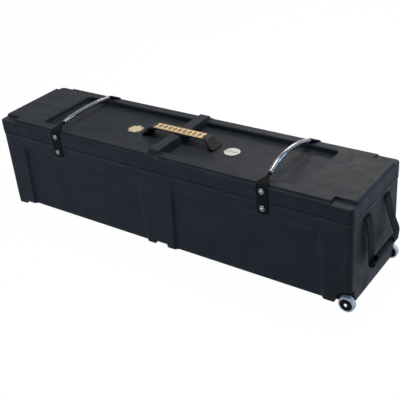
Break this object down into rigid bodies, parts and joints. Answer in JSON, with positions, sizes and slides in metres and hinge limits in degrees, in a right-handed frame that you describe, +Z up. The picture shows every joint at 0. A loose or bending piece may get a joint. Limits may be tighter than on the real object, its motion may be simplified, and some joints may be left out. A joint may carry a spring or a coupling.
{
  "type": "drum hardware case",
  "caption": "Long black moulded hardware case with hinged lid, webbing straps in clear tubes, side release buckles, lid handle, end pull handles and corner wheels.",
  "frame": {"origin": "on the floor under the middle of the case", "axes": "+X along the case towards the wheels, +Y across it towards the buckles, +Z up"},
  "size_m": [1.42, 0.3435, 0.3945],
  "materials": {
    "black_shell": "black moulded polyethylene with a fine moulding grain",
    "dark_moulding": "black moulded plastic, slightly smoother",
    "gold_trim": "gold coloured plastic",
    "white_trim": "white plastic",
    "clear_tube": "clear soft tube",
    "black_webbing": "woven black webbing",
    "zinc_steel": "bright zinc plate",
    "grey_tyre": "grey wheel tyre",
    "black_grip": "black rubber grip tube"
  },
  "bodies": {
    "tub": {"tub": "black_shell", "hinge_webbing_left": "black_webbing", "hinge_webbing_right": "black_webbing", "hinge_tub_rivet_left": "zinc_steel", "hinge_tub_rivet_right": "zinc_steel", "hinge_tub_washer_left": "zinc_steel", "hinge_tub_washer_right": "zinc_steel", "buckle_tub_rivet_left": "zinc_steel", "buckle_tub_rivet_right": "zinc_steel", "buckle_tub_washer_left": "zinc_steel", "buckle_tub_washer_right": "zinc_steel", "anchor_webbing_left": "black_webbing", "anchor_webbing_right": "black_webbing", "pull_root_left": "black_webbing", "pull_root_right": "black_webbing", "pull_plate_left": "zinc_steel", "pull_plate_right": "zinc_steel", "wheel_axle_front": "zinc_steel", "wheel_axle_back": "zinc_steel", "wheel_spacer_front": "dark_moulding", "wheel_spacer_back": "dark_moulding"},
    "lid": {"lid": "black_shell", "carry_handle": "dark_moulding", "carry_handle_inlay": "gold_trim", "carry_handle_fixing_left": "zinc_steel", "carry_handle_fixing_right": "zinc_steel", "badge_left": "gold_trim", "badge_right": "white_trim", "lid_webbing_left": "black_webbing", "lid_webbing_right": "black_webbing", "strap_tube_left": "clear_tube", "strap_tube_right": "clear_tube", "hinge_lid_rivet_left": "zinc_steel", "hinge_lid_rivet_right": "zinc_steel", "hinge_lid_washer_left": "zinc_steel", "hinge_lid_washer_right": "zinc_steel", "buckle_lid_rivet_left": "zinc_steel", "buckle_lid_rivet_right": "zinc_steel", "buckle_lid_washer_left": "zinc_steel", "buckle_lid_washer_right": "zinc_steel", "buckle_socket_left": "dark_moulding", "buckle_socket_right": "dark_moulding"},
    "clip_left": {"buckle_clip_left": "dark_moulding", "tail_webbing_left": "black_webbing"},
    "clip_right": {"buckle_clip_right": "dark_moulding", "tail_webbing_right": "black_webbing"},
    "pull_left": {"pull_webbing_left": "black_webbing", "pull_grip_left": "black_grip"},
    "pull_right": {"pull_webbing_right": "black_webbing", "pull_grip_right": "black_grip"},
    "wheel_front": {"wheel_tyre_front": "grey_tyre", "wheel_hub_front": "dark_moulding"},
    "wheel_back": {"wheel_tyre_back": "grey_tyre", "wheel_hub_back": "dark_moulding"}
  },
  "joints": [
    {"name": "lid_hinge", "type": "hinge", "parent": "tub", "child": "lid", "pos_m": [0, -0.166, 0.297], "axis": [1, 0, 0], "range_deg": [0, 170]},
    {"name": "clip_left_slide", "type": "slide", "parent": "tub", "child": "clip_left", "axis": [0, 0, -1], "range_m": [0, 0.034]},
    {"name": "clip_right_slide", "type": "slide", "parent": "tub", "child": "clip_right", "axis": [0, 0, -1], "range_m": [0, 0.034]},
    {"name": "pull_left_hinge", "type": "hinge", "parent": "tub", "child": "pull_left", "pos_m": [-0.6756, 0, 0.272], "axis": [0, 1, 0], "range_deg": [-5, 120]},
    {"name": "pull_right_hinge", "type": "hinge", "parent": "tub", "child": "pull_right", "pos_m": [0.6756, 0, 0.272], "axis": [0, -1, 0], "range_deg": [-5, 120]},
    {"name": "wheel_front_spin", "type": "hinge", "parent": "tub", "child": "wheel_front", "pos_m": [0.6595, -0.152, 0.025], "axis": [0, 1, 0], "continuous": true},
    {"name": "wheel_back_spin", "type": "hinge", "parent": "tub", "child": "wheel_back", "pos_m": [0.6595, 0.152, 0.025], "axis": [0, 1, 0], "continuous": true}
  ]
}
